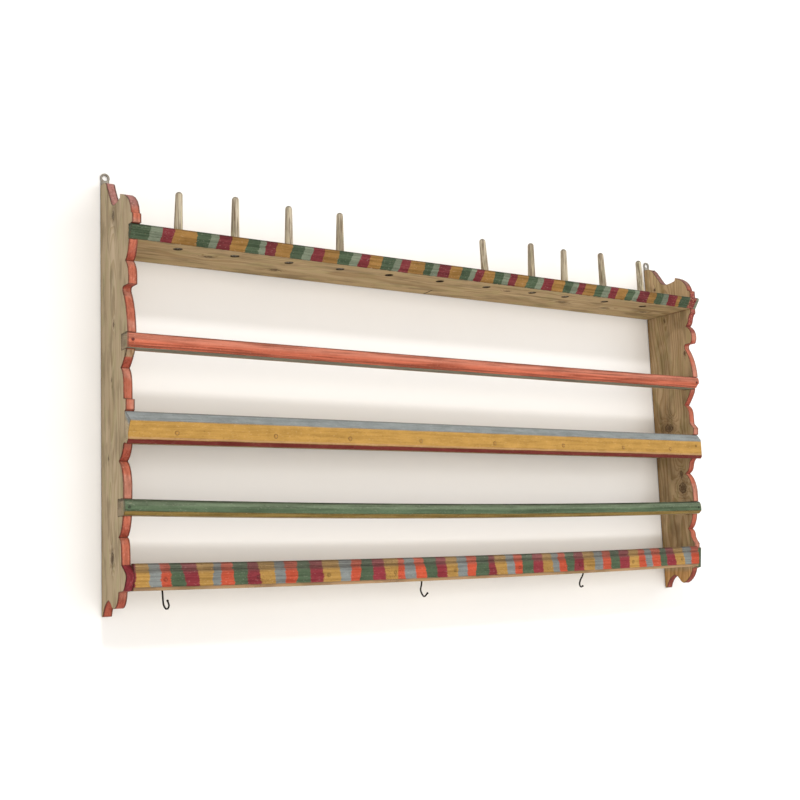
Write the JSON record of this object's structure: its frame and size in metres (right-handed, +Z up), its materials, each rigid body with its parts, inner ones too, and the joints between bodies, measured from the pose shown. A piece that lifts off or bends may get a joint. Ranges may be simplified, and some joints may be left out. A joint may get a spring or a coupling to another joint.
{
  "type": "plate rack",
  "caption": "Wall-hung painted pine plate rack with scalloped end boards, shelves, plate rails, a striped shelf edge, spoon pegs on top and iron hooks below.",
  "frame": {"origin": "on the wall, midway between the two hanger eyes and at their height", "axes": "+X along the rack to the viewer's right, +Y into the wall, +Z up"},
  "size_m": [1.5242, 0.1724, 0.8806],
  "materials": {
    "pine": "bare pine, aged and dry",
    "shelf_pine": "bare pine, darkened, with a striped painted front edge",
    "coral_paint": "worn coral red distemper paint, matt",
    "ochre_paint": "worn ochre distemper paint, matt, with blue-grey and dark red chamfers",
    "green_paint": "worn green distemper paint, matt, with an ochre chamfer",
    "striped_paint": "worn paint in crimson, ochre, blue-grey, coral and green stripes, matt",
    "black_iron": "blackened wrought iron",
    "zinc": "dull zinc-plated steel"
  },
  "bodies": {
    "root": {"left_end_board": "pine", "right_end_board": "pine", "top_shelf": "shelf_pine", "upper_plate_rail": "coral_paint", "middle_shelf": "pine", "middle_front_board": "ochre_paint", "lower_plate_rail": "green_paint", "bottom_shelf": "pine", "bottom_front_board": "striped_paint", "peg_1": "pine", "peg_2": "pine", "peg_3": "pine", "peg_4": "pine", "peg_5": "pine", "peg_6": "pine", "peg_7": "pine", "peg_8": "pine", "peg_9": "pine", "middle_treenail_1": "ochre_paint", "middle_treenail_2": "ochre_paint", "middle_treenail_3": "ochre_paint", "middle_treenail_4": "ochre_paint", "middle_treenail_5": "ochre_paint", "middle_treenail_6": "ochre_paint", "middle_treenail_7": "ochre_paint", "middle_treenail_8": "ochre_paint", "bottom_treenail_1": "striped_paint", "bottom_treenail_2": "striped_paint", "bottom_treenail_3": "striped_paint", "bottom_treenail_4": "striped_paint", "bottom_treenail_5": "striped_paint", "bottom_treenail_6": "striped_paint", "bottom_treenail_7": "striped_paint", "bottom_treenail_8": "striped_paint", "bottom_treenail_9": "striped_paint", "middle_front_nail": "black_iron", "upper_rail_nail_left": "black_iron", "upper_rail_nail_right": "black_iron", "lower_rail_nail_left": "black_iron", "lower_rail_nail_right": "black_iron", "hook_left": "black_iron", "hook_centre": "black_iron", "hook_right": "black_iron", "left_hanger": "zinc", "left_hanger_nail_1": "black_iron", "left_hanger_nail_2": "black_iron", "right_hanger": "zinc", "right_hanger_nail_1": "black_iron", "right_hanger_nail_2": "black_iron"}
  },
  "joints": []
}
